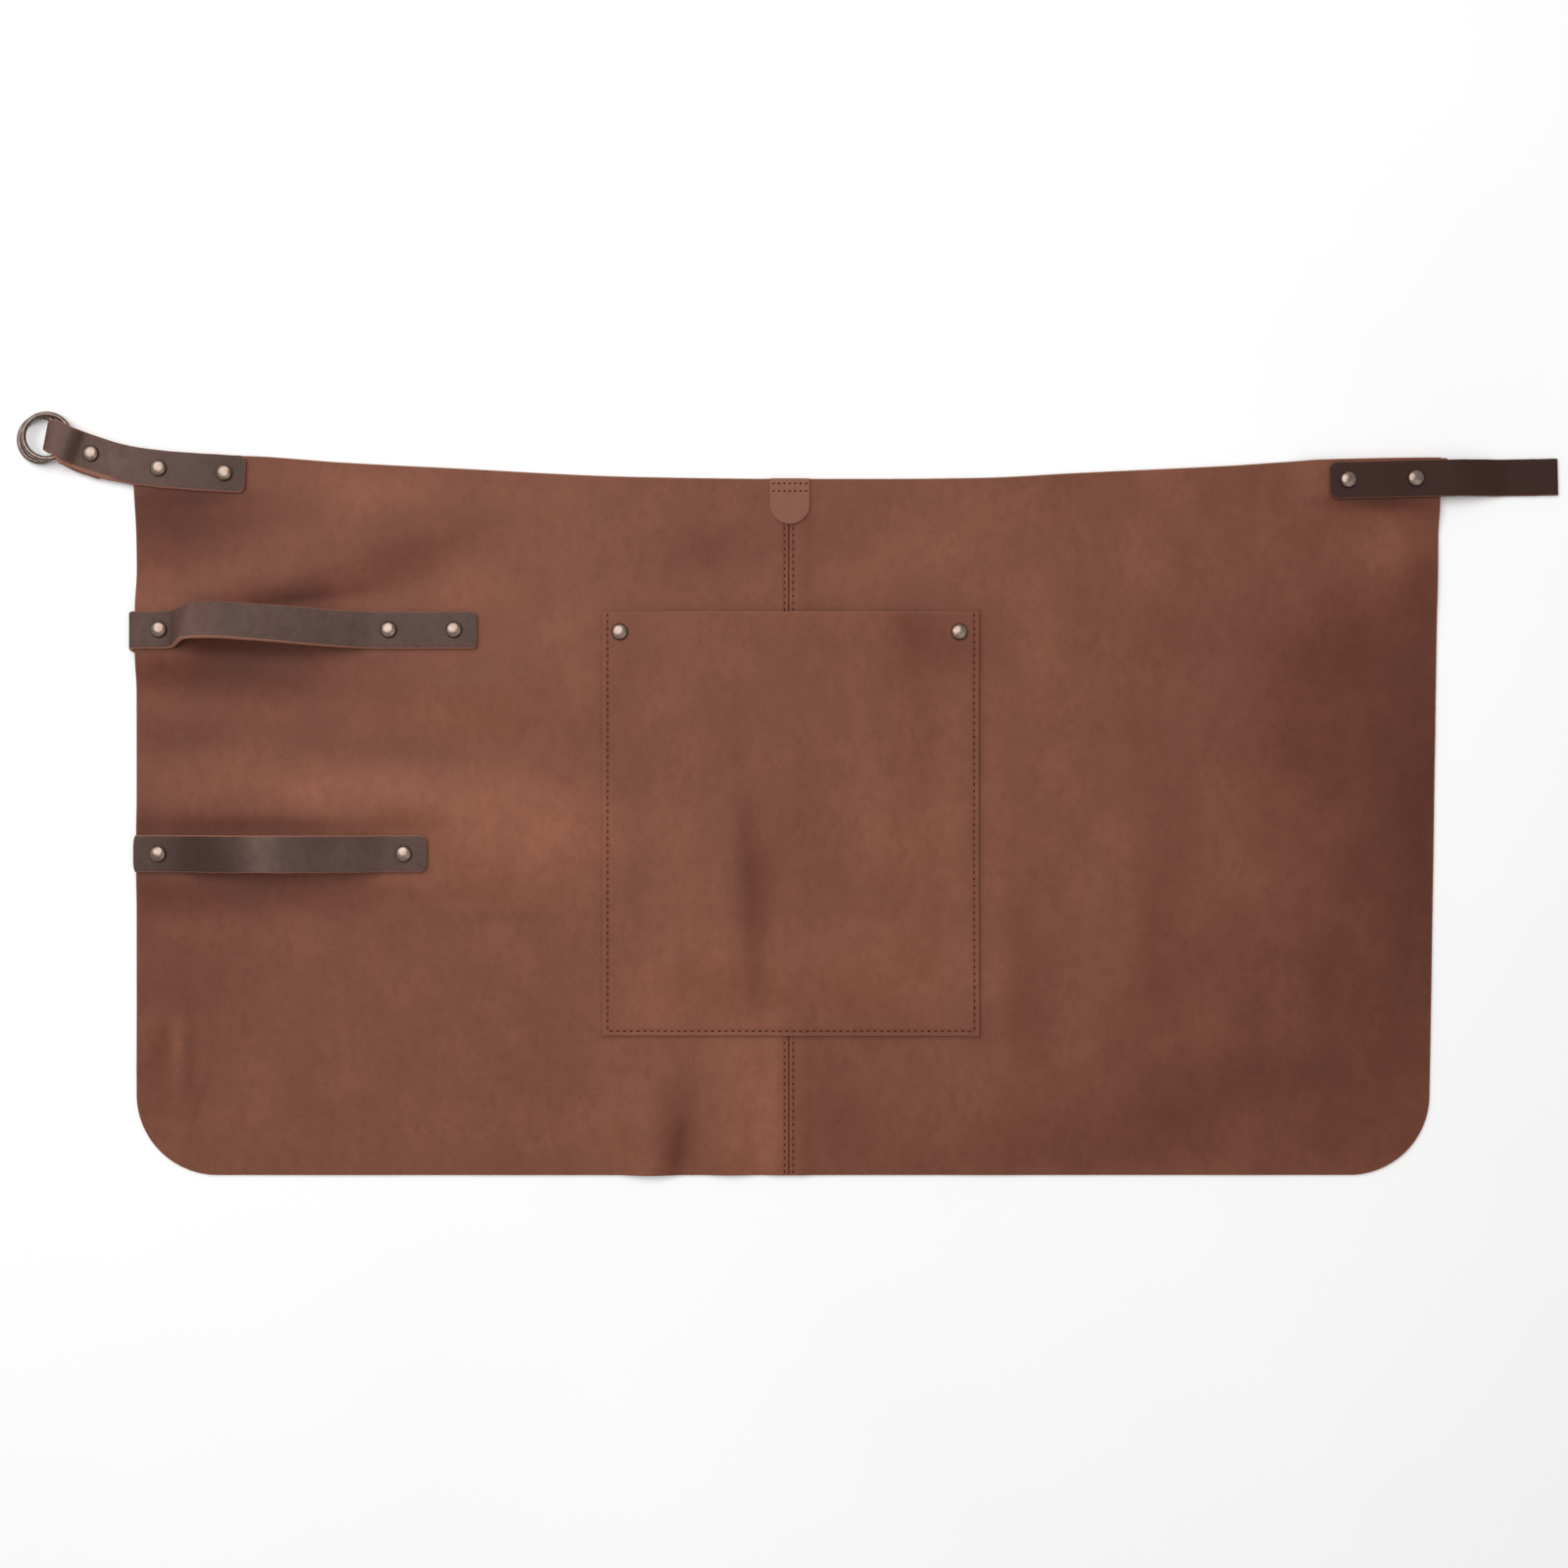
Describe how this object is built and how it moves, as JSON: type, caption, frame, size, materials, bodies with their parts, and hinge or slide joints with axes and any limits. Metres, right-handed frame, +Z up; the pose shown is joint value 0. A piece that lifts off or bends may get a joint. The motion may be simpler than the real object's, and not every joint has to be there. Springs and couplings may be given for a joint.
{
  "type": "leather waist apron for grilling",
  "caption": "Leather waist apron lying flat, with a patch pocket, riveted towel loops on its left side, a ring buckle strap and a waist strap.",
  "frame": {"origin": "middle of the whole outline in plan, at the height of the surface that the apron lies on", "axes": "+X along the waist towards the waist strap, +Y from the hem to the waist, +Z up out of the face of the leather"},
  "size_m": [0.8898, 0.4402, 0.0289],
  "materials": {
    "body_leather": "matt pull-up leather with light mottling",
    "tab_leather": "suede",
    "strap_leather": "dark waxed strap leather with raw light edges",
    "rivet_metal": "polished antique nickel",
    "ring_metal": "polished nickel wire",
    "thread": "waxed dark red-brown thread"
  },
  "bodies": {
    "root": {"panel_left": "body_leather", "panel_right": "body_leather", "pocket": "body_leather", "waist_tab": "tab_leather", "ring_strap": "strap_leather", "loop_strap_upper": "strap_leather", "loop_strap_lower": "strap_leather", "waist_strap": "strap_leather", "waist_strap_backing": "strap_leather", "rivet_ring_strap_1": "rivet_metal", "rivet_ring_strap_2": "rivet_metal", "rivet_ring_strap_3": "rivet_metal", "rivet_upper_loop_1": "rivet_metal", "rivet_upper_loop_2": "rivet_metal", "rivet_upper_loop_3": "rivet_metal", "rivet_lower_loop_1": "rivet_metal", "rivet_lower_loop_2": "rivet_metal", "rivet_pocket_1": "rivet_metal", "rivet_pocket_2": "rivet_metal", "rivet_waist_strap_1": "rivet_metal", "rivet_waist_strap_2": "rivet_metal", "ring_lower": "ring_metal", "ring_upper": "ring_metal"}
  },
  "joints": []
}
